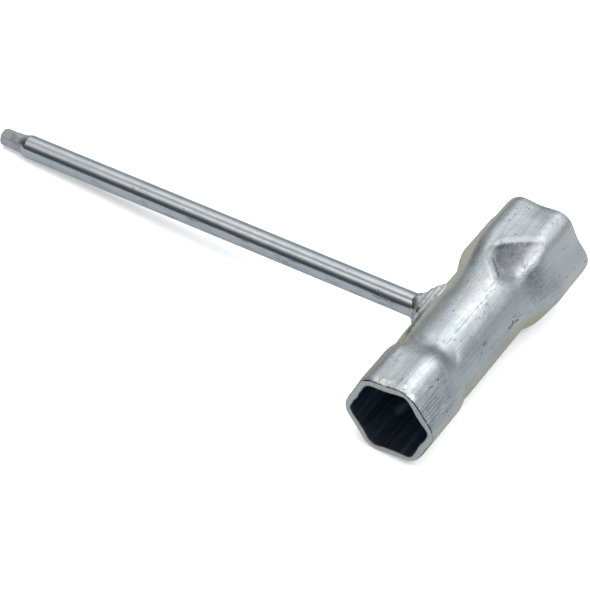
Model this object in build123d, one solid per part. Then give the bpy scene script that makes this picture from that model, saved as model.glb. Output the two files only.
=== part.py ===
"""T-handled tubular socket wrench: a pressed box-spanner tube welded across the end of a round bar.

Frame: millimetres. The tube lies along Y, the smaller socket at the front (-Y). The bar lies along -X,
and its axis crosses the tube's axis at the origin. Z is square to the flat T that the two make.
"""

import os
from collections import namedtuple
from math import cos, radians, sin, sqrt

from build123d import *

# Tube: steel tube, with each end pressed out to a hexagon over a former
wall = 1.75
waist_diameter = 20.6
front_length = 36.0  # from the bar's axis to the front rim
rear_length = 35.0  # from the bar's axis to the rear rim
rim_edge_radius = 0.3
flat_hollow = 0.12  # how far the middle of each flat is drawn in between its corners

# Front socket, for an 18 mm hexagon
front_hex_across_flats = 18.1
front_inner_corner_reach = 10.1  # from the tube's axis to the middle of a rounded inside corner
front_outer_corner_reach = 11.85
front_hex_turn = 5.0  # degrees about the tube, from a corner on the X axis
front_waist_end = 13.9  # from the bar's axis, where the round waist ends
front_hex_start = 23.3  # from the bar's axis, where the straight hexagon starts

# Rear socket, for a 21 mm hexagon
rear_hex_across_flats = 21.1
rear_inner_corner_reach = 11.8
rear_outer_corner_reach = 13.5
rear_hex_turn = 0.0
rear_waist_end = 7.8
rear_hex_start = 23.1

# How far each rounded corner reaches round the tube, in degrees each side of its middle
outer_corner_half_angle = 13.0
inner_corner_half_angle = 9.5

# Flares between the round waist (0) and the full hexagon (1), as shares of their length and height.
# The corners swell out first and leave a pressed valley in the middle of each flat.
front_flare_length_shares = (0.0, 0.2, 0.45, 0.7, 0.88, 1.0)
front_flare_corner_shares = (0.0, 0.1, 0.5, 0.86, 0.98, 1.0)
front_flare_flat_shares = (0.0, 0.05, 0.35, 0.75, 0.96, 1.0)
rear_flare_length_shares = (0.0, 0.15, 0.32, 0.5, 0.65, 0.76, 0.88, 1.0)
rear_flare_corner_shares = (0.0, 0.06, 0.32, 0.64, 0.83, 0.93, 0.99, 1.0)
rear_flare_flat_shares = (0.0, 0.0, 0.01, 0.05, 0.15, 0.4, 0.85, 1.0)

# Bar: round bar stock with a hexagon key formed on its free end
bar_diameter = 6.0
bar_reach = 133.8  # from the tube's axis to the end of the key
key_across_flats = 4.0
key_turn = 26.0  # degrees about the bar, from a corner on the Y axis
key_flat_length = 4.4
key_run_out_radius = 1.6  # the curve on which each flat climbs back to the neck
key_end_bevel = 0.8
neck_diameter = 4.8
neck_length = 6.6  # from the end of the key to the shoulder
shoulder_length = 1.5

# Weld: a fillet bead all round the bar's end, in two runs
weld_leg_on_bar = 4.2
weld_leg_on_tube = 4.4
weld_lean_to_rear = 0.35  # the bead is heavier towards the rear rim
weld_lean_up = 0.3
weld_root_gap = 0.5  # filled with weld metal, between the bar's square end and the tube
weld_penetration = 0.3  # how deep the weld has fused into the bar
weld_first_run_length_share = 0.3
weld_first_run_height_share = 0.17
weld_run_bulge_share = 0.12

# How far a cutting solid runs past what it cuts
overrun = 2.0

waist_radius = waist_diameter / 2
bar_radius = bar_diameter / 2
weld_toe = -waist_radius - weld_leg_on_bar  # along the bar, where the weld starts
sides = 6
side_angle = 360 / sides

# One skin of the tube: its two hexagons, its radius in the waist and the spread of its corners
Hexagon = namedtuple("Hexagon", "flat_reach corner_reach")
Skin = namedtuple("Skin", "front rear round_radius corner_half_angle")


def across_tube(y):
    """The plane square to the tube at y, with its own axes along X and Z."""
    return Plane(origin=(0, y, 0), x_dir=(1, 0, 0), z_dir=(0, -1, 0))


def polar(reach, angle):
    """A point of a section, from its distance to the tube's axis and its angle in degrees."""
    return (reach * cos(radians(angle)), reach * sin(radians(angle)))


def section(y, turn, hexagon, skin, corner_share, flat_share):
    """An outline across the tube, part of the way from round (0) to hexagonal (1).

    It is an arc over each corner and an arc along each flat. All of its points sit on one circle
    where both shares are 0.
    """
    half_angle = skin.corner_half_angle
    on_side = (hexagon.flat_reach + flat_hollow) / cos(radians(side_angle / 2 - half_angle))
    end_share = (2 * corner_share + flat_share) / 3
    corner = skin.round_radius + (hexagon.corner_reach - skin.round_radius) * corner_share
    end = skin.round_radius + (on_side - skin.round_radius) * end_share
    flat = skin.round_radius + (hexagon.flat_reach - skin.round_radius) * flat_share
    edges = []
    for side in range(sides):
        at_corner = turn + side_angle * side
        before = polar(end, at_corner - half_angle)
        after = polar(end, at_corner + half_angle)
        following = polar(end, at_corner + side_angle - half_angle)
        edges.append(ThreePointArc(before, polar(corner, at_corner), after))
        edges.append(ThreePointArc(after, polar(flat, at_corner + side_angle / 2), following))
    return across_tube(y) * make_face(edges)


def front_form(skin, past_rim):
    """The front socket's straight hexagon and its flare, as far as the waist."""
    sections = []
    flare_length = front_hex_start - front_waist_end
    for along, corner_share, flat_share in zip(
        front_flare_length_shares, front_flare_corner_shares, front_flare_flat_shares
    ):
        y = -front_waist_end - flare_length * along
        sections.append(section(y, front_hex_turn, skin.front, skin, corner_share, flat_share))
    straight = front_length - front_hex_start + past_rim
    return loft(sections) + extrude(sections[-1], amount=straight, dir=(0, -1, 0))


def rear_form(skin, past_rim):
    """The rear socket's straight hexagon and its flare, as far as the waist."""
    sections = []
    flare_length = rear_hex_start - rear_waist_end
    for along, corner_share, flat_share in zip(
        rear_flare_length_shares, rear_flare_corner_shares, rear_flare_flat_shares
    ):
        y = rear_waist_end + flare_length * along
        sections.append(section(y, rear_hex_turn, skin.rear, skin, corner_share, flat_share))
    straight = rear_length - rear_hex_start + past_rim
    return loft(sections) + extrude(sections[-1], amount=straight, dir=(0, 1, 0))


def waist_form(radius):
    """The round stretch of the tube between the two flares."""
    start = across_tube(-front_waist_end) * Circle(radius)
    return extrude(start, amount=front_waist_end + rear_waist_end, dir=(0, 1, 0))


def tube_form(skin, past_rim):
    """The whole form inside one skin of the tube, past_rim longer than the tube at each end."""
    return front_form(skin, past_rim) + waist_form(skin.round_radius) + rear_form(skin, past_rim)


def make_socket_tube():
    """The tube: one wall all along, round in the waist and hexagonal at both ends."""
    front_flat = front_hex_across_flats / 2
    rear_flat = rear_hex_across_flats / 2
    inner_skin = Skin(
        front=Hexagon(front_flat, front_inner_corner_reach),
        rear=Hexagon(rear_flat, rear_inner_corner_reach),
        round_radius=waist_radius - wall,
        corner_half_angle=inner_corner_half_angle,
    )
    outer_skin = Skin(
        front=Hexagon(front_flat + wall, front_outer_corner_reach),
        rear=Hexagon(rear_flat + wall, rear_outer_corner_reach),
        round_radius=waist_radius,
        corner_half_angle=outer_corner_half_angle,
    )
    outside = tube_form(outer_skin, 0)
    rims = outside.faces().sort_by(Axis.Y)
    outside = fillet(rims[0].edges() + rims[-1].edges(), rim_edge_radius)
    return outside - tube_form(inner_skin, overrun)


def make_handle_bar():
    """The bar: square-cut at the tube, stepped down to a neck, with six flats on the key.

    Under the weld it is thinner, by the steel that has become part of the weld.
    """
    bar_start = -(waist_radius + weld_root_gap)
    fused_radius = bar_radius - weld_penetration
    shoulder_top = -bar_reach + neck_length + shoulder_length
    shoulder_foot = -bar_reach + neck_length
    neck_radius = neck_diameter / 2
    profile = Polyline(
        (bar_start, 0),
        (bar_start, fused_radius),
        (weld_toe + weld_penetration, fused_radius),
        (weld_toe, bar_radius),
        (shoulder_top, bar_radius),
        (shoulder_foot, neck_radius),
        (-bar_reach + key_end_bevel, neck_radius),
        (-bar_reach, neck_radius - key_end_bevel),
        (-bar_reach, 0),
        close=True,
    )
    bar = revolve(make_face(profile), Axis.X)
    for side in range(sides):
        bar -= Rot(key_turn + side_angle * (side + 1 / 2), 0, 0) * make_key_flat_cutter()
    return bar


def make_key_flat_cutter():
    """Cuts the flat that faces +Y, and climbs back out of the bar on a quarter circle."""
    flat = key_across_flats / 2
    flat_end = -bar_reach + key_flat_length
    end = -bar_reach - overrun
    run_out_end = flat_end + key_run_out_radius
    run_out_top = flat + key_run_out_radius
    clear = max(bar_radius, run_out_top) + overrun
    eighth_turn = radians(45)
    run_out_middle = (
        flat_end + key_run_out_radius * sin(eighth_turn),
        run_out_top - key_run_out_radius * cos(eighth_turn),
    )
    edges = [
        Line((end, flat), (flat_end, flat)),
        ThreePointArc((flat_end, flat), run_out_middle, (run_out_end, run_out_top)),
        Polyline((run_out_end, run_out_top), (run_out_end, clear), (end, clear), (end, flat)),
    ]
    return extrude(make_face(edges), amount=clear, both=True)


def run_of_weld(start, end):
    """The profile edge of one run of weld: an arc that stands proud of the straight line."""
    length = end[0] - start[0]
    height = end[1] - start[1]
    middle = ((start[0] + end[0]) / 2, (start[1] + end[1]) / 2)
    crown = (middle[0] - height * weld_run_bulge_share, middle[1] + length * weld_run_bulge_share)
    return ThreePointArc(start, crown, end)


def make_weld_bead(bar):
    """The bead: two rounded runs about the bar, seated on the tube, with the root filled."""
    toe = (weld_toe, bar_radius)
    foot_reach = bar_radius + weld_leg_on_tube
    foot = (-sqrt(waist_radius**2 - foot_reach**2), foot_reach)
    between = (
        toe[0] + weld_leg_on_bar * weld_first_run_length_share,
        toe[1] + weld_leg_on_tube * weld_first_run_height_share,
    )
    edges = [
        run_of_weld(toe, between),
        run_of_weld(between, foot),
        Polyline(foot, (0, foot_reach), (0, 0), (toe[0], 0), toe),
    ]
    bead = Pos(0, weld_lean_to_rear, weld_lean_up) * revolve(make_face(edges), Axis.X)
    return bead - waist_form(waist_radius) - bar


def main():
    handle_bar = make_handle_bar()
    pieces = {
        "socket_tube": make_socket_tube(),
        "handle_bar": handle_bar,
        "weld_bead": make_weld_bead(handle_bar),
    }
    os.makedirs("parts", exist_ok=True)
    for name, piece in pieces.items():
        export_step(piece, f"parts/{name}.step")


main()
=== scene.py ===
from collections import namedtuple
from functools import partial, reduce
from math import cos, pi, radians, sin, sqrt

import bmesh
import bpy
import numpy as np
from mathutils import Matrix, Vector


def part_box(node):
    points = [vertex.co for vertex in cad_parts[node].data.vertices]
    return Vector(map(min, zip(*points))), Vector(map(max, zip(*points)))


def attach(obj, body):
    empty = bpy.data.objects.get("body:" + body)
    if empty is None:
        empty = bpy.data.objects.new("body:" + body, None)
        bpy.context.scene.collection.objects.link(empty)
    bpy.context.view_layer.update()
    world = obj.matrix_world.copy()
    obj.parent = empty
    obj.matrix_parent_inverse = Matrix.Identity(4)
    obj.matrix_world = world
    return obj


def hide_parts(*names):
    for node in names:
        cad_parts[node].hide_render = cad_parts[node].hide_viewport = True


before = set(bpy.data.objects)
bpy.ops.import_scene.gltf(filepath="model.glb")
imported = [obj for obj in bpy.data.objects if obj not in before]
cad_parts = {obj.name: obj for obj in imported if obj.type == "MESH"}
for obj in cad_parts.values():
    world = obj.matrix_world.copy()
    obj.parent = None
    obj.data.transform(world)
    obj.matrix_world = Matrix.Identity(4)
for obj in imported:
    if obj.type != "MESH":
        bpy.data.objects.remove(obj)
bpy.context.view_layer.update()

# Lengths below are in millimetres and become metres with MM. The frame is the CAD's: the tube along Y with
# its smaller socket at -Y, the bar along -X from the tube's axis, and Z square to the T.
MM = 0.001


def box_mm(node):
    """The lowest and highest corner of a CAD node, in millimetres."""
    low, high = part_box(node)
    return np.array(low) / MM, np.array(high) / MM


tube_low, tube_high = box_mm("socket_tube")
bar_low, bar_high = box_mm("handle_bar")

# Tube, from the frame where the frame has it
front_rim = tube_low[1]
rear_rim = tube_high[1]
corner_margin = 0.05  # how far the rear corners stay inside the CAD's box
rear_corner_reach = tube_high[0] - corner_margin
waist_radius = 10.3
wall = 1.75
sides = 6
side_angle = 360 / sides

# Bar, from the frame
bar_radius = bar_high[2]
bar_end = bar_low[0]
bar_start = bar_high[0]

# Camera, matched to the outlines in the photograph
camera_azimuth = 32.835
camera_elevation = 42.947
camera_roll = -0.972
camera_distance = 678.9
camera_aim = (-40.2, -11.6, 0.0)
camera_lens = 175.5
camera_sensor = 36.0
camera_clip_start = 10.0


def smooth(x):
    """0 below 0, 1 above 1, and an S curve between."""
    x = np.clip(x, 0.0, 1.0)
    return x * x * (3 - 2 * x)


def slope(x, ease):
    """0 below 0, 1 above 1, and a straight slope between that eases in and out."""
    x = np.clip(x, 0.0, 1.0)
    top = 1 - ease
    eased_in = x**2 / (2 * ease * top)
    eased_out = 1 - (1 - x) ** 2 / (2 * ease * top)
    return np.where(x < ease, eased_in, np.where(x > top, eased_out, (x - ease / 2) / top))


def bell(x, power=2):
    """1 at 0, and smoothly down to almost nothing at 2 on both sides. A power of 4 has a flatter top."""
    return np.exp(-(x**power))


def angle_between(theta, middle):
    """The signed angle from middle to theta, in degrees, between -180 and 180."""
    return np.mod(theta - middle + 180, 360) - 180


def corner_radius_for(flat_reach, corner_reach):
    """The radius that rounds a hexagon's corners down to a given reach."""
    half = cos(radians(side_angle / 2))
    return (flat_reach / half - corner_reach) / (1 / half - 1)


def cornerness(theta, turn):
    """1 at each corner of a hexagon and 0 at the middle of each flat."""
    return 0.5 + 0.5 * np.cos(np.radians(sides * (theta - turn)))


Hexagon = namedtuple("Hexagon", "turn flat_reach corner_radius hollow")


def hexagon_reach(theta, form):
    """A hexagon's reach at each angle in degrees. Its corners are arcs that run smoothly into the flats, and
    the flats are drawn in a little in the middle."""
    turned = theta - form.turn
    off = np.radians(np.abs(turned - side_angle * np.round(turned / side_angle)))
    half = radians(side_angle / 2)
    radius = form.corner_radius
    centre = (form.flat_reach - radius) / cos(half)
    arc_end = np.arctan2(radius * sin(half), centre + radius * cos(half))
    arc = centre * np.cos(off) + np.sqrt(np.maximum(radius**2 - (centre * np.sin(off)) ** 2, 0))
    reach = np.where(off < arc_end, arc, form.flat_reach / np.cos(half - off))
    return reach - form.hollow * (1 - cornerness(theta, form.turn)) ** 2


Waves = namedtuple("Waves", "height seed count shortest longest")
outside_waves = Waves(height=0.02, seed=3, count=14, shortest=5.0, longest=16.0)
inside_waves = Waves(height=0.03, seed=8, count=10, shortest=5.0, longest=14.0)
bore_rim_waves = Waves(height=0.07, seed=21, count=12, shortest=2.2, longest=5.5)
bore_rim_waves_length = 3.0  # from the front rim


def unevenness(theta, y, kind):
    """Gentle unevenness from a sum of waves over the tube, mostly within its height either way."""
    draw = np.random.default_rng(kind.seed)
    total = np.zeros_like(theta)
    for _ in range(kind.count):
        length = draw.uniform(kind.shortest, kind.longest)
        direction = draw.uniform(0, 2 * pi)
        around = round(2 * pi * waist_radius / length * cos(direction))
        along = 2 * pi / length * sin(direction)
        total += np.cos(around * np.radians(theta) + along * y + draw.uniform(0, 2 * pi))
    return kind.height * (total / sqrt(kind.count))


# Front socket. The corners swell out of the waist first. The flats follow in a short step, and a shallow neck
# runs round the tube before it.
front_turn = 5.0
front_outside = Hexagon(front_turn, flat_reach=10.8, corner_radius=5.0, hollow=0.04)
front_inside = Hexagon(front_turn, flat_reach=9.05, corner_radius=2.2, hollow=0.2)
front_blunt = front_outside._replace(turn=67.0, corner_radius=6.2)  # the corner that faces the camera
front_blunt_half_angle = 25.0
front_waist_end = -14.5
front_hex_start = -24.6
front_flat_step = 5.3
front_corner_spread = 0.7  # under 1, the corners' early swelling spreads over the flats
front_neck = 0.3
front_neck_middle = -18.8
front_neck_width = 2.4

# Rear socket. The flare starts late and ends early along the line of the valley before each flat, and the
# other way at the corners, so each valley is a V that opens from the waist to a steep wall under the crest.
rear_turn = 0.0
rear_flat_reach = 12.3
rear_corner_radius = corner_radius_for(rear_flat_reach, rear_corner_reach)
rear_outside = Hexagon(rear_turn, rear_flat_reach, rear_corner_radius, hollow=0.1)
rear_inside = Hexagon(rear_turn, flat_reach=10.55, corner_radius=2.5, hollow=0.2)
# For each corner: where along the tube its flare starts and ends
rear_corner_flares = ((6.0, 24.5), (7.4, 24.2), (2.0, 25.0), (8.5, 24.5), (7.0, 23.0), (7.0, 23.0))
corner_blend = 8.0  # degrees over which one corner's flare passes to the next
corner_ease = 0.5  # the share of the flare that eases in, and the same out
valley_ease = 0.2
valley_start = 12.5
valley_crest = 18.3
valley_crest_bow = 0.85
valley_brow = 4  # how late the valley's side turns over into the flank
crease_width = 2.0
valley_dip = 0.1
valley_dip_start = 7.0
valley_dip_rise = 6.0
valley_dip_end = 14.0
valley_dip_fall = 5.0
valley_tip = 8.0
valley_settled = 14.5
# For each flat: the valley's angle off its middle, how much less that is at the tip, how far its side towards
# the next corner reaches in degrees, and how deep it is as a share of the deepest
Valley = namedtuple("Valley", "off_middle tip_off far_side depth")
rear_valleys = (
    Valley(3, 0, 27, 0.6),
    Valley(3.5, 29, 10.5, 1),
    Valley(3, 0, 29, 0.9),
    Valley(-3, 0, 33, 0.8),
    Valley(2, 0, 28, 0.7),
    Valley(0, 0, 30, 0.8),
)
ridge_corner = 60.0
ridge_lean = 2.5  # degrees by which the ridge that faces the camera leans over in the flare
ridge_lean_middle = 15.5
ridge_lean_length = 5.0

# Rims and waist
rim_draw_in = 0.2
rim_draw_length = 2.6
rear_flat_draw_in = 0.32  # how much further the middle of each flat is drawn in at the rear rim
rear_flat_draw_length = 7.0
rim_edge = 0.3
rim_edge_steps = (22, 45, 68, 90)  # degrees round the rim's outside edge
rim_face_shares = (0.15, 0.5, 0.85)
bore_edge = ((0.12, 0.0), (0.03, 0.04), (0.0, 0.14))  # how far out of the bore, and back from the rim
bore_start = 0.5  # the first ring of the bore, from the rim
waist_drift = 0.15  # how far the waist is off the axis of the two sockets
waist_drift_angle = 152.0
waist_drift_end = 23.4
waist_drift_fade = 13.0


def rear_flare(theta, y, round_reach, hexagon):
    """The rear end of one skin of the tube, from round to the hexagon, by way of the valleys."""
    valley = np.zeros_like(theta)
    start = np.zeros_like(valley)
    end = np.zeros_like(valley)
    half = side_angle / 2
    for side, form in enumerate(rear_valleys):
        before = rear_corner_flares[side]
        after = rear_corner_flares[(side + 1) % sides]
        off = angle_between(theta, rear_turn + side_angle * side + half)
        here = (off >= -half) & (off < half)
        tip_share = 1 - smooth((y - valley_tip) / (valley_settled - valley_tip))
        line = form.off_middle - form.tip_off * tip_share
        room = np.where(off > line, form.far_side, half + line)
        apart = np.clip((np.sqrt((off - line) ** 2 + crease_width**2) - crease_width) / room, 0, 1)
        past = smooth((off - line) / corner_blend + 0.5)
        valley = np.where(here, form.depth * (1 - apart) * (1 - apart**valley_brow), valley)
        start = np.where(here, before[0] + (after[0] - before[0]) * past, start)
        end = np.where(here, before[1] + (after[1] - before[1]) * past, end)
    start = start + (valley_start - start) * valley
    end = end + (valley_crest - end) * valley**valley_crest_bow
    ease = corner_ease + (valley_ease - corner_ease) * valley
    share = slope((y - start) / (end - start), ease)
    dip_in = smooth((y - valley_dip_start) / valley_dip_rise)
    dip_out = 1 - smooth((y - valley_dip_end) / valley_dip_fall)
    return round_reach + (hexagon - round_reach) * share - valley_dip * valley * dip_in * dip_out


def front_share(theta, y):
    """How far the front has grown from round (0) to the hexagon (1)."""
    corner = cornerness(theta, front_turn) ** front_corner_spread
    start = front_waist_end * corner + (front_hex_start + front_flat_step) * (1 - corner)
    return smooth((start - y) / (start - front_hex_start))


def rear_flat_draw(theta, y):
    """How far the flats are drawn in towards the rear rim."""
    near_rim = smooth(1 - (rear_rim - y) / rear_flat_draw_length)
    return rear_flat_draw_in * near_rim * (1 - cornerness(theta, rear_turn)) ** 2


def front_hexagon(theta):
    """The front socket's outside, with one corner blunter than the others."""
    sharp = hexagon_reach(theta, front_outside)
    near_blunt = bell(angle_between(theta, front_blunt.turn) / front_blunt_half_angle, 4)
    return sharp + (hexagon_reach(theta, front_blunt) - sharp) * near_blunt


def outer_reach(theta, y):
    """The tube's outside: its distance from the axis at each angle and place along the tube."""
    neck = front_neck * bell((y - front_neck_middle) / front_neck_width)
    front = waist_radius + (front_hexagon(theta) - waist_radius) * front_share(theta, y) - neck

    in_flare = bell((y - ridge_lean_middle) / ridge_lean_length)
    near_ridge = bell(angle_between(theta, ridge_corner) / side_angle * 2, 4)
    leaning = theta + ridge_lean * in_flare * near_ridge
    rear = rear_flare(theta, y, waist_radius, hexagon_reach(leaning, rear_outside))
    reach = np.where(y > 0, rear, front)

    near_front = smooth(1 - (y - front_rim) / rim_draw_length)
    near_rear = smooth(1 - (rear_rim - y) / rim_draw_length)
    reach = reach - rim_draw_in * (near_front**2 + near_rear**2) - rear_flat_draw(theta, y)
    return reach + unevenness(theta, y, outside_waves)


def inner_reach(theta, y):
    """The tube's inside, pressed over a hexagonal former at each end."""
    bore = waist_radius - wall
    front = bore + (hexagon_reach(theta, front_inside) - bore) * front_share(theta, y)
    rear = rear_flare(theta, y, bore, hexagon_reach(theta, rear_inside))
    at_rim = smooth(1 - (y - front_rim) / bore_rim_waves_length)
    reach = np.where(y > 0, rear, front) - rear_flat_draw(theta, y)
    reach = reach + at_rim * unevenness(theta, y, bore_rim_waves)
    return reach + unevenness(theta, y, inside_waves)


def add_object(name, data):
    thing = bpy.data.objects.new(name, data)
    bpy.context.scene.collection.objects.link(thing)
    return thing


same_point = 0.0005  # points closer than this are one point


def add_mesh(name, points_mm, faces, node):
    """A smooth mesh piece that rides on the one body and stands for a CAD node."""
    mesh = bpy.data.meshes.new(name)
    mesh.from_pydata([tuple(p) for p in np.asarray(points_mm) * MM], [], faces)
    shape = bmesh.new()
    shape.from_mesh(mesh)
    bmesh.ops.remove_doubles(shape, verts=shape.verts, dist=same_point * MM)
    bmesh.ops.recalc_face_normals(shape, faces=shape.faces)
    shape.to_mesh(mesh)
    shape.free()
    mesh.shade_smooth()
    piece = add_object(name, mesh)
    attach(piece, "root")
    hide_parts(node)
    return piece


def grid_faces(rows, columns, closed_rows):
    """Quads of a grid whose columns close into a ring, and whose rows may close too."""
    faces = []
    for row in range(rows if closed_rows else rows - 1):
        here = row * columns
        after = (row + 1) % rows * columns
        for column in range(columns):
            right = (column + 1) % columns
            faces.append((here + column, here + right, after + right, after + column))
    return faces


tube_columns = 360
outer_row = 0.3
inner_row = 0.6


def skin_rings(reach_at, theta, first, last, row):
    """Rings of one skin of the tube from one place to another: the reach all round, and the place."""
    places = np.linspace(first, last, round((rear_rim - front_rim) / row))
    return [(reach_at(theta, y), y) for y in places]


def rim_rings(theta, rim, outwards):
    """Rings round one rim, from its outside edge over its face to its inside edge. Outwards is -1 or 1."""
    outside = outer_reach(theta, rim)
    inside = inner_reach(theta, rim)
    rings = []
    for step in rim_edge_steps:
        back = rim_edge * (1 - sin(radians(step)))
        rings.append((outside - rim_edge * (1 - cos(radians(step))), rim - outwards * back))
    for share in rim_face_shares:
        rings.append(((outside - rim_edge) * (1 - share) + (inside + bore_edge[0][0]) * share, rim))
    for out, back in bore_edge:
        rings.append((inside + out, rim - outwards * back))
    return rings


def make_tube():
    """The tube: along the outside, round the front rim, back along the inside and round the rear rim."""
    theta = np.arange(tube_columns) * 360.0 / tube_columns
    turn = np.radians(theta)
    drift_turn = radians(waist_drift_angle)
    rings = skin_rings(outer_reach, theta, rear_rim - rim_edge, front_rim + rim_edge, outer_row)
    rings += rim_rings(theta, front_rim, -1)
    rings += skin_rings(inner_reach, theta, front_rim + bore_start, rear_rim - bore_start, inner_row)
    rings += reversed(rim_rings(theta, rear_rim, 1))
    points = []
    for reach, y in rings:
        drift = waist_drift * float(smooth((waist_drift_end - abs(y)) / waist_drift_fade))
        x = reach * np.cos(turn) + drift * cos(drift_turn)
        z = reach * np.sin(turn) + drift * sin(drift_turn)
        points.append(np.stack([x, np.full_like(turn, y), z], 1))
    faces = grid_faces(len(rings), tube_columns, True)
    return add_mesh("tube", np.concatenate(points), faces, "socket_tube")


# Key and bar
key_flat_reach = 2.0
key_turn = 26.0
key_run_out_start = 2.6  # from the end of the key
key_run_out_length = 3.2
key_run_out_height = 0.45
key_edge_softness = 0.12
key_run_out_softness = 0.5
key_bevel = 0.8
key_bevel_steps = range(10, 90, 10)  # degrees
neck_radius = 2.4
neck_length = 5.8
shoulder_length = 2.3
shoulder_top = bar_end + neck_length + shoulder_length
bar_columns = 144
bar_fine_row = 0.12
bar_fine_past = 0.6  # how far the fine rows go on past the shoulder
bar_row = 0.8
bar_row_start = 1.0
bar_tip_gap = 0.001
facing_least = 0.3  # the cosine past which a flat of the key no longer limits the reach
no_limit = 1e9


def key_flat_height(x):
    """How far the key's flats are from the bar's axis at x: straight, then up a soft curve."""
    share = smooth((x - bar_end - key_run_out_start) / key_run_out_length)
    return key_flat_reach + key_run_out_height * share


def soft_least(first, second, softness):
    """The lesser of two values, rounded off where they are close."""
    near = np.clip(1 - np.abs(first - second) / softness, 0, 1)
    return np.minimum(first, second) - softness / 4 * near**2


def bar_round_reach(from_end):
    """The bar's round reach at a distance from its end: bevel, neck, shoulder and bar."""
    if from_end < key_bevel:
        share = from_end / key_bevel
        return neck_radius - key_bevel * (1 - sqrt(1 - (1 - share) ** 2))
    share = float(smooth((from_end - neck_length) / shoulder_length))
    return neck_radius + (bar_radius - neck_radius) * share


def bar_ring_reach(x, angle):
    """The bar's reach at x for each angle about it."""
    from_end = x - bar_end
    flats = np.full_like(angle, no_limit)
    if from_end < key_run_out_start + key_run_out_length:
        height = float(key_flat_height(x))
        for side in range(sides):
            normal = key_turn + side_angle * (side + 0.5)
            toward = np.cos(np.radians(angle - normal))
            flat = np.where(toward > facing_least, height / np.maximum(toward, facing_least), no_limit)
            flats = np.minimum(flats, flat)
    run_out_share = float(smooth((from_end - key_run_out_start) / key_run_out_length))
    softness = key_edge_softness + (key_run_out_softness - key_edge_softness) * run_out_share
    return soft_least(flats, bar_round_reach(from_end), softness)


def make_bar():
    """The bar with its key, closed to a point in the middle of each end face."""
    angle = key_turn + np.arange(bar_columns) * 360.0 / bar_columns
    turn = np.radians(angle)
    places = [bar_end + bar_tip_gap]
    places += [bar_end + key_bevel * (1 - cos(radians(step))) for step in key_bevel_steps]
    places += list(np.arange(bar_end + key_bevel, shoulder_top + bar_fine_past, bar_fine_row))
    places += list(np.arange(shoulder_top + bar_row_start, bar_start, bar_row))
    rings = [np.tile([bar_end, 0, 0], (bar_columns, 1))]
    for x in places:
        reach = bar_ring_reach(x, angle)
        rings.append(np.stack([np.full_like(turn, x), reach * np.cos(turn), reach * np.sin(turn)], 1))
    rings.append(np.tile([places[-1], 0, 0], (bar_columns, 1)))
    faces = grid_faces(len(rings), bar_columns, False)
    return add_mesh("bar", np.concatenate(rings), faces, "handle_bar")


# Weld, built on rings about the bar: from the toe on the bar out to the foot on the tube, then back inside
weld_toe = -14.5
weld_toe_shift = 0.3
weld_toe_tuck = 0.2
weld_foot_reach = 7.4
weld_lean = (0.35, 0.3)  # towards the rear and up
weld_lean_rate = 1.5
weld_columns = 180
weld_rows = 72
weld_sunk = 0.35
weld_collar_share = 0.26
weld_collar_height_share = 0.13
weld_collar_bulge_share = 0.10
weld_bead_bulge_share = 0.05
weld_ripple = 0.10
weld_ripple_count = 4.2
weld_ripple_swell = 0.3
weld_ripple_fade = 0.7
weld_ripple_back_share = 0.6
# Waves round the bead: the height, count and phase of each
weld_foot_waves = ((0.25, 2, 0.6), (0.2, 3, 2.0), (0.12, 5, 0.0))
weld_toe_waves = ((0.22, 2, 1.0), (0.16, 5, 0.3))
weld_wander_waves = ((0.9, 1, 0.5), (0.7, 3, 0.0), (0.3, 7, 0.0))


def ring_waves(wave, angle, terms):
    """A sum of waves round a ring."""
    return sum(height * wave(count * angle + phase) for height, count, phase in terms)


def weld_profile(share):
    """The bead's height over the bar and its place along it, as shares of its two legs."""
    split = weld_collar_share
    rise = weld_collar_height_share
    first = share < split
    t = np.where(first, share / split, (share - split) / (1 - split))
    along = np.where(first, split * t, split + (1 - split) * t)
    height = np.where(first, rise * t, rise + (1 - rise) * t)
    bulge = np.where(first, weld_collar_bulge_share, weld_bead_bulge_share) * np.sin(pi * t)
    span_along = np.where(first, split, 1 - split)
    span_height = np.where(first, rise, 1 - rise)
    return height + bulge * span_along, along - bulge * span_height


def make_weld():
    """The fillet bead: two runs with ripples, its toe sunk in the bar and its foot sunk in the tube."""
    angle = np.radians(np.arange(weld_columns) * 360.0 / weld_columns)
    share = np.linspace(0, 1, weld_rows)[:, None]
    foot_reach = weld_foot_reach + ring_waves(np.cos, angle, weld_foot_waves)[None, :]
    foot_x = -np.sqrt(waist_radius**2 - (foot_reach * np.sin(angle)) ** 2)
    toe_x = weld_toe + ring_waves(np.cos, angle, weld_toe_waves) + weld_toe_shift
    height, along = weld_profile(share)
    swell = 1 - weld_ripple_swell + weld_ripple_swell * np.sin(2 * angle + 1.0)
    wander = ring_waves(np.sin, angle, weld_wander_waves)
    ripple = np.sin(2 * pi * weld_ripple_count * share + wander) * swell
    ripple = weld_ripple * ripple * np.sin(pi * share) ** weld_ripple_fade
    reach = bar_radius + (foot_reach - bar_radius) * height + ripple
    x = toe_x + (foot_x - toe_x) * along - weld_ripple_back_share * ripple
    lean = np.minimum(share * weld_lean_rate, 1)
    y = reach * np.cos(angle) + weld_lean[0] * lean
    z = reach * np.sin(angle) + weld_lean[1] * lean

    in_bar = bar_radius - weld_sunk
    in_tube = waist_radius - weld_sunk
    rings = [(np.full_like(angle, bar_start), 0 * angle, 0 * angle)]
    rings.append((toe_x + weld_toe_tuck, in_bar * np.cos(angle), in_bar * np.sin(angle)))
    rings += [(x[row], y[row], z[row]) for row in range(weld_rows)]
    for out in (1.0, 0.5, 0.0):
        rings.append((-np.sqrt(in_tube**2 - (z[-1] * out) ** 2), y[-1] * out, z[-1] * out))
    points = np.concatenate([np.stack(ring, 1) for ring in rings])
    faces = grid_faces(len(rings), weld_columns, False)
    return add_mesh("weld", points, faces, "weld_bead")


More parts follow.
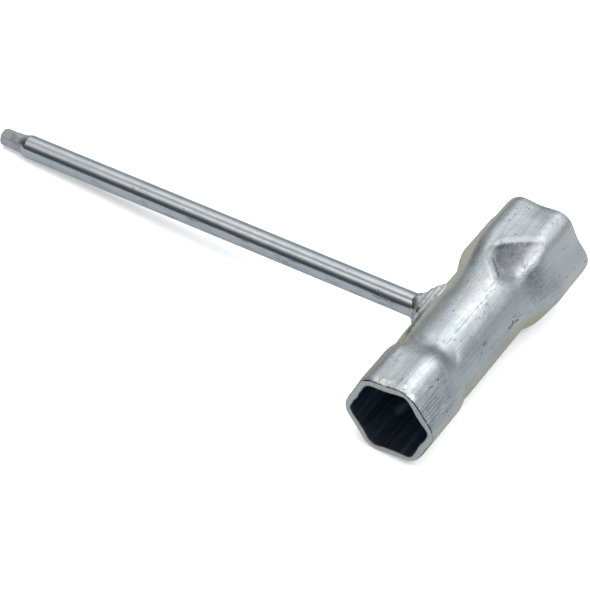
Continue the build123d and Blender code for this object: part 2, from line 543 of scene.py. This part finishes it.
class Tree:
    """A node tree being built. Each step adds a node and gives back the socket to use next."""

    def __init__(self, tree):
        self.nodes = tree.nodes
        self.links = tree.links

    def fill(self, node, values):
        """Sets inputs of a node from numbers, or links them from sockets."""
        for key, value in values.items():
            if isinstance(value, bpy.types.NodeSocket):
                self.links.new(value, node.inputs[key])
            else:
                node.inputs[key].default_value = value

    def node(self, kind, values=None, **settings):
        node = self.nodes.new(kind)
        for name, value in settings.items():
            setattr(node, name, value)
        self.fill(node, values or {})
        return node

    def math(self, operation, *values):
        return self.node("ShaderNodeMath", dict(enumerate(values)), operation=operation).outputs[0]

    def plus(self, *values):
        return reduce(partial(self.math, "ADD"), values)

    def minus(self, first, second):
        return self.math("SUBTRACT", first, second)

    def times(self, *values):
        return reduce(partial(self.math, "MULTIPLY"), values)

    def most_of(self, *values):
        return reduce(partial(self.math, "MAXIMUM"), values)

    def vector(self, operation, first, second=None, scale=None):
        inputs = {0: first}
        if second is not None:
            inputs[1] = second
        if scale is not None:
            inputs["Scale"] = scale
        node = self.node("ShaderNodeVectorMath", inputs, operation=operation)
        return node.outputs["Value" if operation in ("DOT_PRODUCT", "LENGTH") else "Vector"]

    def remap(self, value, low, high, to_low=0.0, to_high=1.0, curve="SMOOTHSTEP"):
        """The value carried from low..high to to_low..to_high, on an S curve or straight, and held beyond."""
        node = self.node("ShaderNodeMapRange", {
            "Value": value, "From Min": low, "From Max": high, "To Min": to_low, "To Max": to_high,
        }, interpolation_type=curve)
        return node.outputs["Result"]

    def near(self, value, middle, edge, full):
        """1 where the value is within full of the middle, fading to 0 at edge."""
        return self.remap(self.math("ABSOLUTE", self.minus(value, middle)), edge, full)

    def span(self, value, start, full, fade, end):
        """0 up to start, 1 from full to fade, and 0 again from end."""
        return self.times(self.remap(value, start, full), self.remap(value, end, fade))

    def blend(self, factor, first, second):
        """A colour between two colours."""
        node = self.node("ShaderNodeMix", {"Factor": factor, "A": first, "B": second}, data_type="RGBA")
        return node.outputs["Result"]


class Look(Tree):
    """A material being built, with its colour, roughness and normal so far. Patterns are laid out in
    millimetres, on the piece's own coordinates."""

    def __init__(self, name):
        self.material = bpy.data.materials.new(name)
        self.material.use_nodes = True
        super().__init__(self.material.node_tree)
        self.principled = self.nodes["Principled BSDF"]
        own_place = self.node("ShaderNodeTexCoord").outputs["Object"]
        self.place = self.vector("SCALE", own_place, scale=1 / MM)
        self.x, self.y, self.z = self.node("ShaderNodeSeparateXYZ", {0: self.place}).outputs
        self.normal = None

    def stretched(self, stretch):
        """The place with each direction drawn out: a small share gives long marks that way."""
        return self.vector("MULTIPLY", self.place, stretch) if stretch else self.place

    def noise(self, grain, stretch=None, detail=2.0, roughness=0.5, distortion=0.0):
        """Noise with blobs about one grain across, in millimetres."""
        return self.node("ShaderNodeTexNoise", {
            "Vector": self.stretched(stretch), "Scale": 1 / grain, "Detail": detail,
            "Roughness": roughness, "Distortion": distortion,
        }).outputs["Fac"]

    def blotches(self, grain, low, high, *ends, **kind):
        """Noise carried from low..high to 0..1, or to other ends."""
        return self.remap(self.noise(grain, **kind), low, high, *ends)

    def specks(self, spacing, radius_share, stretch=None, core_share=0.4):
        """1 inside small spots, one to each cell of the given spacing, and 0 outside."""
        values = {"Vector": self.stretched(stretch), "Scale": 1 / spacing}
        distance = self.node("ShaderNodeTexVoronoi", values).outputs["Distance"]
        return self.remap(distance, radius_share, radius_share * core_share)

    def scratches(self, direction, across, grain, amount, strength, width=0.012, core_share=0.3, edge=0.05):
        """Thin broken marks: the thin middle of a noise drawn out in one direction, cut by a coarser one."""
        thin = self.near(self.noise(across, direction, detail=1.0), 0.5, width, width * core_share)
        return self.times(thin, self.blotches(grain, amount, amount + edge, detail=3.0), strength)

    def paint(self, colour, *masks):
        """Draws the colour so far towards another, as far as the product of the masks."""
        self.colour = self.blend(self.times(*masks), self.colour, colour)

    def shade(self, level):
        self.colour = self.vector("SCALE", self.colour, scale=level)

    def roughen(self, amount, *masks):
        self.roughness = self.plus(self.roughness, self.times(*masks, amount))

    def keep_matt(self, least, mask):
        """Makes the surface at least so rough where the mask is 1."""
        self.roughness = self.most_of(self.roughness, self.times(mask, least))

    def bump(self, height, distance):
        """Raises the surface by so many millimetres where the height is 1, on top of the bumps so far."""
        values = {"Height": height, "Distance": distance * MM}
        if self.normal is not None:
            values["Normal"] = self.normal
        self.normal = self.node("ShaderNodeBump", values).outputs["Normal"]

    def finish(self, edge_tint, metallic=1.0):
        self.fill(self.principled, {
            "Metallic": metallic, "Base Color": self.colour, "Roughness": self.roughness,
            "Normal": self.normal, "Specular Tint": edge_tint,
        })
        return self.material


white = (1, 1, 1, 1)
zinc_colour = (0.80, 0.83, 0.85, 1)
zinc_cool = (0.70, 0.765, 0.81, 1)
zinc_warm = (0.80, 0.775, 0.70, 1)
zinc_cloud_levels = (0.42, 0.66)  # of the noise that mixes the first two
weld_colour = (0.95, 0.96, 0.97, 1)
# Dark grey for the drawn lines on the flats, and for the painted shade in the rear pocket and the front neck
dark_lines_and_shade_colour = (0.22, 0.24, 0.28, 1)
# Near white for the painted highlights: the pocket's crest and flank, the rear flat, the front rim band and
# the glint in the bore
painted_highlight_colour = (0.97, 0.985, 1.0, 1)
rim_colour = (0.97, 0.99, 0.96, 1)
rim_shade_colour = (0.80, 0.81, 0.77, 1)
bore_dark = (0.24, 0.31, 0.40, 1)
bore_light = (0.46, 0.55, 0.64, 1)
bar_edge_tint = (0.84, 0.88, 0.91, 1)
grazing_tint = (1.0, 0.92, 0.66, 1)
weld_edge_tint = (0.40, 0.41, 0.43, 1)
# Dark brown for dirt, scratches and nicks, and for the painted dark reflections on the weld
dirt_and_dark_reflection_colour = (0.13, 0.105, 0.08, 1)
rust_colour = (0.42, 0.29, 0.17, 1)

# Ovals on the tube's skin: the middle and half size, in degrees about the tube and along it
Spot = namedtuple("Spot", "angle half_angle y half_length softness strength", defaults=(0.5, 1.0))
front_flat_spot = Spot(33, 26, -30, 9, softness=0.4)
rear_flat_spot = Spot(90, 27, 29, 8, softness=0.4, strength=0.35)
comb_spot = Spot(33, 20, -33.5, 6.5)
rim_polish_and_highlight_spot = Spot(92, 30, -35, 2.6, softness=0.6)
rubbed_spot = Spot(64, 10, -2.2, 4.6)
painted_glint_spot = Spot(-113.5, 12, -23, 3.2, softness=1)
scuff_spots = (
    Spot(47, 12, -27, 5.5),
    Spot(30, 7, -9.5, 3.5),
    Spot(18, 9, 5, 6),
    Spot(112, 12, -24, 9, strength=0.4),
    Spot(20.5, 3.5, 3.5, 1.2),
    Spot(15, 3, 8, 1.6),
    Spot(26.5, 3, 16.5, 1.4),
)

# Lines on the tube's skin: the rise along the tube for each degree about it, and the place at 0 degrees
valley_edge_line = (0.2, -7.0)
valley_edge_least = 8.4
crest_edge_line = (-0.16, 33.2)
edge_highlight_reach = (1.6, 0.4)  # how far each side of its middle a painted highlight along an edge ends, and is full
neck_line = (0.045, -22.9)
neck_reach = (2.6, 0.5)  # from the neck's line, where its painted shade ends and where it is full

# Stretches about the tube in degrees and along it: where each starts, is full, fades and ends
crest_highlight_angles = (56.0, 62.0, 100.0, 106.0)
flank_highlight_angles = (76.0, 84.0, 100.0, 106.0)
flat_highlight_angles = (-14.0, -4.0, 46.0, 52.0)
satin_angles = (50.0, 57.0, 68.0, 76.0)
neck_shade_angles = (30.0, 52.0, 100.0, 125.0)
seam_stretch = (-17.0, -15.0, 8.0, 10.0)
seam_angle = 70.5
# The pocket's painted shade: its near side starts and is full at these angles, and its far side ends and is
# full at these
pocket_near_side = (57.0, 74.0)
pocket_far_side = (103.0, 97.0)
matt_far_side = (110.0, 105.0)
pocket_tip = (14.0, 11.0)
pocket_tip_turn = 13.0  # degrees by which the pocket reaches further round at its tip


class TubeLook(Look):
    """The tube's material, with the patterns that several of its features share."""

    def __init__(self, name):
        super().__init__(name)
        self.angle = self.math("DEGREES", self.math("ARCTAN2", self.z, self.x))
        self.facing = self.node("ShaderNodeNewGeometry").outputs["Normal"]
        self.mottle = self.noise(1.7, detail=4.0, roughness=0.6)
        self.grain = self.noise(0.5, detail=3.0, roughness=0.6)
        self.drawn = self.noise(0.42, (1.0, 0.035, 1.0), detail=3.0, roughness=0.65)
        self.fine_drawn = self.noise(0.16, (1.0, 0.02, 1.0))
        self.on_flats = self.most_of(self.spot(front_flat_spot), self.spot(rear_flat_spot))
        self.rim_polish_and_highlight = self.times(self.spot(rim_polish_and_highlight_spot), self.blotches(1.5, 0.44, 0.56))
        self.satin = self.times(self.remap(self.y, 8.0, 13.0), self.span(self.angle, *satin_angles))

    def spot(self, spot):
        """The spot's strength inside its oval, fading to 0 at its edge."""
        across = self.math("DIVIDE", self.minus(self.angle, spot.angle), spot.half_angle)
        along = self.math("DIVIDE", self.minus(self.y, spot.y), spot.half_length)
        squares = self.plus(self.math("POWER", across, 2.0), self.math("POWER", along, 2.0))
        return self.remap(self.math("SQRT", squares), 1.0, 1.0 - spot.softness, to_high=spot.strength)

    def line(self, rise, start):
        """Where a line lies along the tube, at each angle about it."""
        return self.math("MULTIPLY_ADD", self.angle, rise, start)


def comb(look):
    """Even draw lines on the front flat, like the marks of a comb."""
    wander = look.times(look.noise(2.5, (1.0, 0.03, 1.0)), 5.0)
    wave = look.math("SINE", look.math("MULTIPLY_ADD", look.angle, 1.5, wander))
    return look.times(look.remap(wave, -0.9, 0.1, 1.0, 0.0), look.spot(comb_spot))


def add_plating(look):
    """Zinc with cool clouds, warm spots and drawn lines."""
    cool_clouds = look.blotches(7.0, *zinc_cloud_levels, detail=3.0)
    look.colour = look.blend(cool_clouds, zinc_colour, zinc_cool)
    look.paint(zinc_warm, look.blotches(3.1, 0.56, 0.74, stretch=(1.0, 0.6, 1.0), detail=4.0), 0.55)
    look.shade(look.remap(look.drawn, 0.34, 0.66, 0.88, 1.07))
    look.paint(dark_lines_and_shade_colour, look.remap(look.fine_drawn, 0.50, 0.40), look.on_flats, 0.4)
    look.paint(dark_lines_and_shade_colour, comb(look), 0.55)
    look.roughness = look.remap(look.mottle, 0.35, 0.68, 0.15, 0.30)
    look.roughen(0.05, look.on_flats)
    look.roughen(0.14, look.satin)


def add_pocket_shade(look):
    """The pressed valley under the rear crest: painted shade in dark grey, matt, with sparkles, and painted
    highlights along its crest and flank.
    """
    valley_edge = look.most_of(look.line(*valley_edge_line), valley_edge_least)
    crest_edge = look.line(*crest_edge_line)
    ragged = look.times(look.minus(look.grain, 0.5), 3.0)
    place_y = look.plus(look.y, ragged)
    tip_angle = look.plus(look.angle, look.remap(look.y, *pocket_tip, 0.0, pocket_tip_turn))
    below_crest = look.remap(look.minus(crest_edge, place_y), -0.3, 1.0)
    past_valley_edge = look.remap(look.minus(place_y, valley_edge), -0.6, 1.6)
    past_near_side = look.remap(look.plus(tip_angle, look.times(ragged, 3.0)), *pocket_near_side)
    # Painted shade in the pocket: dark grey, broken by sparkles, and darker towards the far side, under the
    # crest and at the tip
    dull = look.times(past_valley_edge, below_crest, past_near_side, look.remap(look.angle, *pocket_far_side))
    sparkle = look.blotches(0.55, 0.60, 0.68, 1.0, 0.25)
    uneven_angle = look.plus(look.angle, look.times(look.mottle, 18.0))
    under_crest = look.remap(look.minus(crest_edge, look.y), 3.0, 0.6, 0.0, 0.3)
    at_tip = look.remap(look.y, 12.5, 9.5, 0.0, 0.25)
    depth = look.plus(look.remap(uneven_angle, 70.0, 100.0, 0.3, 0.62), under_crest, at_tip)
    look.paint(dark_lines_and_shade_colour, dull, sparkle, depth)

    # Painted highlights: a bright line along the crest, and a fainter one along the flank before the valley
    past_crest = look.minus(look.y, crest_edge)
    crest = look.times(look.near(past_crest, 0.9, *edge_highlight_reach), look.span(look.angle, *crest_highlight_angles))
    before_valley = look.minus(valley_edge, look.y)
    flank = look.times(look.near(before_valley, 1.0, *edge_highlight_reach), look.span(look.angle, *flank_highlight_angles))
    look.paint(painted_highlight_colour, look.most_of(crest, look.times(flank, 0.5)), 0.9)

    near_valley_edge = look.remap(look.minus(look.y, valley_edge), -1.4, -0.4)
    matt_sides = look.times(look.remap(tip_angle, *pocket_near_side), look.remap(look.angle, *matt_far_side))
    look.roughen(0.34, near_valley_edge, below_crest, matt_sides)


def add_painted_highlights_and_shade(look):
    """A painted highlight on the rear socket's flats, the polished band at the front rim with its painted
    highlight, and painted shade in the neck before it.
    """
    # Painted highlight on the rear socket, from about 0 to 50 degrees round the tube
    on_rear_hexagon = look.remap(look.y, 19.0, 25.0)
    look.paint(painted_highlight_colour, on_rear_hexagon, look.span(look.angle, *flat_highlight_angles), 0.7)
    # Painted highlight in the band along the front rim, which is also polished smoother
    look.paint(painted_highlight_colour, look.rim_polish_and_highlight)
    look.roughen(-0.06, look.rim_polish_and_highlight)
    # Painted shade: a dark band across the front neck
    neck_shade_band = look.near(look.y, look.line(*neck_line), *neck_reach)
    look.paint(dark_lines_and_shade_colour, neck_shade_band, look.span(look.angle, *neck_shade_angles), 0.38)


def add_marks(look):
    """Scratches, scuffs and specks. Gives back their mask."""
    scuffed = look.most_of(*[look.spot(spot) for spot in scuff_spots])
    scuffs = look.blotches(0.9, 0.56, 0.62, stretch=(1.0, 0.4, 0.8), detail=4.0, roughness=0.7)
    marks = look.most_of(
        look.scratches((1.0, 0.05, 1.0), 1.4, 3.4, 0.60, strength=0.55),
        look.scratches((0.35, 0.16, 1.0), 1.1, 2.6, 0.62, strength=0.5),
        look.times(scuffed, scuffs),
        look.times(look.specks(1.9, 0.16), look.blotches(5.0, 0.50, 0.60)),
    )
    look.paint(dirt_and_dark_reflection_colour, marks, 0.8)
    look.roughen(0.3, marks)
    return marks


def add_wear(look):
    """A rubbed tan place on the waist, and the thin dark line of the tube's seam."""
    look.paint(rust_colour, look.spot(rubbed_spot), look.blotches(0.75, 0.52, 0.62, detail=3.0), 0.6)
    on_seam = look.times(look.near(look.angle, seam_angle, 0.9, 0.3), look.span(look.y, *seam_stretch))
    look.paint(dirt_and_dark_reflection_colour, on_seam, look.remap(look.mottle, 0.38, 0.52), 0.45)


def add_rims(look):
    """Both rims: matt, darker in blotches along the outside edge, and with nicks."""
    end_on = look.math("ABSOLUTE", look.node("ShaderNodeSeparateXYZ", {0: look.facing}).outputs[1])
    from_middle = look.math("ABSOLUTE", look.y)
    at_rim = look.remap(from_middle, rear_rim - 1.2, rear_rim - 0.7)
    rim = look.times(look.remap(end_on, 0.80, 0.96), at_rim)
    look.paint(look.blend(look.remap(look.grain, 0.35, 0.7), rim_colour, rim_shade_colour), rim)
    look.keep_matt(0.5, rim)
    # Darker in blotches along each rim's rounded outside edge
    by_edge = look.remap(from_middle, rear_rim - 0.9, rear_rim - 0.6)
    on_edge = look.times(by_edge, look.span(end_on, 0.12, 0.3, 0.85, 0.97))
    look.paint(dirt_and_dark_reflection_colour, on_edge, look.blotches(1.3, 0.36, 0.52, detail=3.0, roughness=0.7), 0.85)
    look.paint(dirt_and_dark_reflection_colour, rim, look.blotches(0.6, 0.66, 0.72), 0.8)


def add_bore(look):
    """The dark streaky bore, which is every face that looks towards the axis, with a painted glint, and its
    brown lower lip.
    """
    across = look.vector("NORMALIZE", look.stretched((1.0, 0.0, 1.0)))
    outward = look.vector("DOT_PRODUCT", across, look.facing)
    bore = look.remap(outward, 0.1, -0.3)
    streaks = look.blotches(1.6, 0.42, 0.66, stretch=(1.0, 0.06, 1.0), detail=3.0)
    bore_colour = look.blend(streaks, bore_dark, bore_light)
    # Painted highlight: a soft bright glint deep in the front socket's bore
    look.paint(look.blend(look.spot(painted_glint_spot), bore_colour, painted_highlight_colour), bore)
    look.keep_matt(0.42, bore)
    from_middle = look.math("ABSOLUTE", look.plus(look.y, 0.5))  # the same at both rims
    on_lip = look.times(
        look.remap(outward, -0.15, -0.35), look.remap(from_middle, rear_rim + 0.12, rear_rim + 0.26)
    )
    look.paint(rust_colour, on_lip, look.remap(look.z, 0.0, -3.0), look.remap(look.mottle, 0.40, 0.52), 0.9)


def make_zinc_tube():
    """Plated tube: mottled, with drawn lines, painted shade in the pocket and the neck, painted highlights,
    marks, matt rims and a dark bore.
    """
    look = TubeLook("zinc_tube")
    add_plating(look)
    add_pocket_shade(look)
    add_painted_highlights_and_shade(look)
    marks = add_marks(look)
    add_wear(look)
    add_rims(look)
    add_bore(look)
    look.bump(look.plus(look.mottle, look.times(look.grain, 0.35)), 0.055)
    look.bump(look.times(look.plus(look.drawn, look.times(look.fine_drawn, 0.5)), look.on_flats), 0.13)
    look.bump(look.times(look.plus(look.grain, look.mottle), look.most_of(look.satin, look.rim_polish_and_highlight)), 0.05)
    look.bump(look.minus(1.0, marks), 0.02)
    return look.finish(grazing_tint)


streaks_fade = (-120.0, -60.0)  # the bar's dark streaks grow from the key towards the tube
streaks_side = (-2.0, -2.8)


def make_zinc_bar():
    """Bright drawn bar: fine lengthwise lines, small pits, dark streaks and a matt key."""
    look = Look("zinc_bar")
    drawn = look.noise(0.3, (0.03, 1.0, 1.0), detail=3.0, roughness=0.6)
    mottle = look.noise(0.9, (0.5, 1.0, 1.0), detail=3.0)
    look.colour = look.blend(look.blotches(4.0, *zinc_cloud_levels, detail=3.0), zinc_colour, zinc_cool)
    look.shade(look.remap(drawn, 0.36, 0.64, 0.93, 1.04))
    pits = look.times(look.specks(1.7, 0.15, (0.6, 1.0, 1.0)), look.blotches(3.3, 0.47, 0.58))
    marks = look.most_of(pits, look.scratches((0.05, 1.0, 1.0), 1.2, 2.2, 0.60, strength=0.5))
    look.paint(dirt_and_dark_reflection_colour, marks, 0.55)
    streaks = look.blotches(0.8, 0.54, 0.66, stretch=(0.12, 1.0, 1.0), detail=4.0, roughness=0.7)
    towards_tube = look.remap(look.x, *streaks_fade, 0.25, 1.0)
    look.paint(dirt_and_dark_reflection_colour, streaks, towards_tube, look.remap(look.y, *streaks_side), 0.6)
    at_key = look.remap(look.x, shoulder_top, bar_end + neck_length)
    look.shade(look.math("MULTIPLY_ADD", at_key, -0.07, 1.0))
    look.roughness = look.remap(mottle, 0.35, 0.68, 0.10, 0.18)
    look.roughen(0.25, marks)
    look.roughen(0.36, at_key)
    look.bump(look.plus(mottle, look.times(drawn, 0.3)), 0.012)
    look.bump(look.minus(1.0, pits), 0.02)
    return look.finish(bar_edge_tint)


# Painted dark reflections on the weld, at two places: where, how wide and how dark
DarkReflection = namedtuple("DarkReflection", "centre reach darkness")
weld_dark_reflections = (DarkReflection((-10.9, -4.3, 3.7), 1.1, 0.8), DarkReflection((-13.3, -2.5, 2.2), 0.8, 0.7))
weld_hollow = 0.9  # from the toe, between the two runs
weld_streak_count = 7.0  # radians for each millimetre from the bar's axis
weld_streak_wander = 9.0


def make_zinc_weld():
    """Plated weld: brown in the hollow between its two runs, painted dark reflections in blots and two spots,
    and frosted streaks.
    """
    look = Look("zinc_weld")
    cloud = look.noise(1.3, detail=4.0)
    grain = look.noise(0.45, detail=3.0, roughness=0.65)
    from_toe = look.minus(look.x, weld_toe)
    look.colour = look.blend(look.remap(cloud, 0.36, 0.66), weld_colour, zinc_colour)
    in_hollow = look.near(from_toe, weld_hollow, 0.8, 0.1)
    look.paint(rust_colour, in_hollow, look.remap(look.z, -0.5, 2.0), look.remap(grain, 0.35, 0.6), 0.35)
    # Painted dark reflections in blots on the weld's lower part
    dark_reflection_blobs = look.blotches(1.3, 0.52, 0.60, distortion=0.4)
    look.paint(dirt_and_dark_reflection_colour, dark_reflection_blobs, look.remap(look.z, 3.4, 1.2), 0.45)
    # Painted dark reflections at two places on the weld
    for dark_spot in weld_dark_reflections:
        away = look.vector("LENGTH", look.vector("SUBTRACT", look.place, dark_spot.centre))
        away = look.plus(away, look.math("MULTIPLY_ADD", grain, 1.2, -0.6))
        look.paint(dirt_and_dark_reflection_colour, look.remap(away, dark_spot.reach, dark_spot.reach / 2), dark_spot.darkness)
    look.roughness = look.remap(grain, 0.3, 0.7, 0.09, 0.2)
    look.bump(look.plus(look.noise(1.1, (1.6, 0.6, 0.6)), look.times(grain, 0.12)), 0.16)
    from_axis = look.vector("LENGTH", look.stretched((0.0, 1.0, 1.0)))
    phase = look.plus(look.times(from_axis, weld_streak_count), look.times(cloud, weld_streak_wander))
    streaks = look.remap(look.math("SINE", phase), -0.8, 0.6, 0.35, 1.0)
    frosted = look.times(streaks, look.remap(from_toe, 0.9, 1.8), look.remap(look.z, 0.5, 2.4), 0.24)
    return look.finish(weld_edge_tint, metallic=look.minus(1.0, frosted))


# Stage
floor_radius = 600.0
floor_sides = 96
floor_middle_x = -50.0
floor_fade_shares = (0.6, 0.98)  # of the radius, where the floor starts to fade and where it has gone
floor_colour = (0.185, 0.196, 0.215, 1)
floor_camera_colour = (0.97, 0.97, 0.97, 1)
floor_glow = (0.435, 0.465, 0.49, 1)  # what the metal sees of the floor where nothing shades it
floor_glow_share = 0.75
shadow_fill_share = 0.4  # how much of the floor's shadow is filled for the camera
key_rest_length = 20.0  # how much of the bar's end and of each end of the tube may touch the floor
rim_rest_length = 10.0
settling_rounds = 8


def resting_plane(groups):
    """The plane that the wrench rests on, touching the lowest point of each of three groups of points."""
    plane = np.zeros(3)
    for _ in range(settling_rounds):
        touching = []
        for points in groups:
            height = points[:, 2] - points[:, :2] @ plane[:2] - plane[2]
            touching.append(points[height.argmin()])
        touching = np.array(touching)
        plane = np.linalg.solve(np.column_stack([touching[:, :2], np.ones(3)]), touching[:, 2])
    return plane


def world_points(piece):
    """All points of a piece, in metres."""
    points = np.empty(len(piece.data.vertices) * 3)
    piece.data.vertices.foreach_get("co", points)
    return points.reshape(-1, 3)


def make_floor_material():
    """White with a soft shadow to the camera, grey to the metal, and clear at its edge and from below."""
    look = Look("floor_white")
    look.nodes.remove(look.principled)
    path = look.node("ShaderNodeLightPath")
    to_camera = path.outputs["Is Camera Ray"]
    diffuse_colour = look.blend(to_camera, floor_colour, floor_camera_colour)
    diffuse = look.node("ShaderNodeBsdfDiffuse", {"Color": diffuse_colour})
    glow = look.node("ShaderNodeEmission", {"Color": look.blend(to_camera, floor_glow, white)})
    shadow_fill = look.times(to_camera, shadow_fill_share)
    glow_share = look.math("MULTIPLY_ADD", path.outputs["Is Glossy Ray"], floor_glow_share, shadow_fill)
    lit = look.node("ShaderNodeMixShader", {0: glow_share, 1: diffuse.outputs[0], 2: glow.outputs[0]})
    fade_start, fade_end = (floor_radius * share for share in floor_fade_shares)
    gone = look.remap(look.vector("LENGTH", look.place), fade_start, fade_end, curve="LINEAR")
    below = look.node("ShaderNodeNewGeometry").outputs["Backfacing"]
    clear = look.node("ShaderNodeBsdfTransparent")
    faded = {0: look.most_of(gone, below), 1: lit.outputs[0], 2: clear.outputs[0]}
    surface = look.node("ShaderNodeMixShader", faded).outputs[0]
    look.fill(look.nodes["Material Output"], {"Surface": surface})
    return look.material


def make_floor(tube, bar):
    """A round floor under the wrench, which rests on its key and on the two ends of its tube."""
    tube_points = world_points(tube)
    bar_points = world_points(bar)
    a, b, c = resting_plane([
        bar_points[bar_points[:, 0] < (bar_end + key_rest_length) * MM],
        tube_points[tube_points[:, 1] < (front_rim + rim_rest_length) * MM],
        tube_points[tube_points[:, 1] > (rear_rim - rim_rest_length) * MM],
    ])
    normal = Vector((-a, -b, 1)).normalized()
    middle = Vector((floor_middle_x * MM, 0, floor_middle_x * MM * a + c))
    bpy.ops.mesh.primitive_circle_add(vertices=floor_sides, radius=floor_radius * MM, fill_type="NGON")
    floor = bpy.context.object
    floor.name = "floor"
    floor.matrix_world = Matrix.Translation(middle) @ normal.to_track_quat("Z", "Y").to_matrix().to_4x4()
    floor.data.materials.append(make_floor_material())


# The studio's levels from straight down (-90) to straight up (90), behind the wrench and ahead of it
behind_levels = (
    (-90, 0.33), (-40, 0.46), (-12, 0.46), (4, 0.34), (14, 0.31), (28, 0.46),
    (40, 0.78), (50, 0.90), (60, 1.04), (67, 1.45), (75, 0.42), (90, 0.36),
)
ahead_levels = (
    (-90, 0.33), (-40, 0.46), (-14, 0.38), (-2, 0.2), (8, 0.08), (22, 0.07), (36, 0.14),
    (46, 0.55), (54, 0.85), (60, 1.2), (66, 0.36), (72, 0.15), (90, 0.30),
)
cool_tint = (0.95, 1.0, 1.04)
cool_below = 45  # degrees up
ahead_to_behind = (-0.2, 0.6)  # along Y, where one passes to the other

# A grey card to the left of the wrench and a bright one to the right, their soft edges given as cosines
Card = namedtuple("Card", "direction edge full level")
side_card = Card((-0.8, 0.0, 0.6), edge=0.84, full=0.92, level=0.55)
bright_card = Card((0.75, 0.08, 0.65), edge=0.88, full=0.98, level=2.2)
# The sky is a little brighter to the right
left_level = 0.86
right_level = 1.13


def sky_ramp(tree, up, levels):
    """A smooth ramp of levels over the elevation."""
    node = tree.node("ShaderNodeValToRGB", {"Fac": up})
    node.color_ramp.interpolation = "B_SPLINE"
    elements = node.color_ramp.elements
    while len(elements) < len(levels):
        elements.new(0.5)
    for element, (elevation, level) in zip(elements, levels):
        tint = cool_tint if elevation < cool_below else white[:3]
        element.position = (sin(radians(elevation)) + 1) / 2
        element.color = (*(level * share for share in tint), 1)
    return node.outputs["Color"]


def card_level(tree, direction, card):
    """1 away from a card in the sky, and the card's level inside it."""
    near = tree.vector("DOT_PRODUCT", direction, Vector(card.direction).normalized())
    return tree.remap(near, card.edge, card.full, 1.0, card.level)


def make_world():
    """A soft studio, bright overhead and dark behind the camera. The camera itself sees white."""
    world = bpy.data.worlds.new("studio")
    bpy.context.scene.world = world
    world.use_nodes = True
    tree = Tree(world.node_tree)
    direction = tree.node("ShaderNodeTexCoord").outputs["Generated"]
    x, y, z = tree.node("ShaderNodeSeparateXYZ", {0: direction}).outputs
    up = tree.remap(z, -1.0, 1.0, curve="LINEAR")
    ahead = sky_ramp(tree, up, ahead_levels)
    sky = tree.blend(tree.remap(y, *ahead_to_behind), ahead, sky_ramp(tree, up, behind_levels))
    level = tree.times(
        card_level(tree, direction, side_card),
        card_level(tree, direction, bright_card),
        tree.remap(x, -1.0, 1.0, left_level, right_level, curve="LINEAR"),
    )
    shown = tree.node("ShaderNodeLightPath").outputs["Is Camera Ray"]
    colour = tree.blend(shown, tree.vector("SCALE", sky, scale=level), white)
    tree.fill(tree.nodes["Background"], {"Color": colour, "Strength": 1.0})


# Area lamps: the distance and size in metres, and the power in watts
Lamp = namedtuple("Lamp", "name direction distance size power in_reflections")
lamps = (
    Lamp("soft_top", (0.1, 0.2, 1.0), 1.2, (1.9, 1.9), 50.0, in_reflections=False),
    Lamp("box_behind", (0.07, 0.64, 0.76), 0.9, (0.42, 0.34), 0.17, in_reflections=True),
)


def add_lamp(lamp):
    light = bpy.data.lights.new(lamp.name, "AREA")
    light.shape = "RECTANGLE"
    light.size, light.size_y = lamp.size
    light.energy = lamp.power
    holder = add_object(lamp.name, light)
    direction = Vector(lamp.direction)
    holder.location = direction.normalized() * lamp.distance
    holder.rotation_euler = direction.to_track_quat("Z", "Y").to_euler()
    holder.visible_glossy = lamp.in_reflections


def make_camera():
    camera = bpy.data.cameras.new("camera")
    camera.lens = camera_lens
    camera.sensor_width = camera_sensor
    camera.clip_start = camera_clip_start * MM
    holder = add_object("camera", camera)
    turn = (
        Matrix.Rotation(radians(camera_azimuth), 4, "Z")
        @ Matrix.Rotation(radians(90 - camera_elevation), 4, "X")
        @ Matrix.Rotation(radians(camera_roll), 4, "Z")
    )
    aim = Vector(camera_aim) * MM
    holder.matrix_world = Matrix.Translation(aim) @ turn @ Matrix.Translation((0, 0, camera_distance * MM))
    bpy.context.scene.camera = holder


tube = make_tube()
bar = make_bar()
weld = make_weld()
tube.data.materials.append(make_zinc_tube())
bar.data.materials.append(make_zinc_bar())
weld.data.materials.append(make_zinc_weld())
for lamp in lamps:
    add_lamp(lamp)
make_floor(tube, bar)
make_world()
make_camera()
bpy.context.scene.view_settings.view_transform = "Standard"
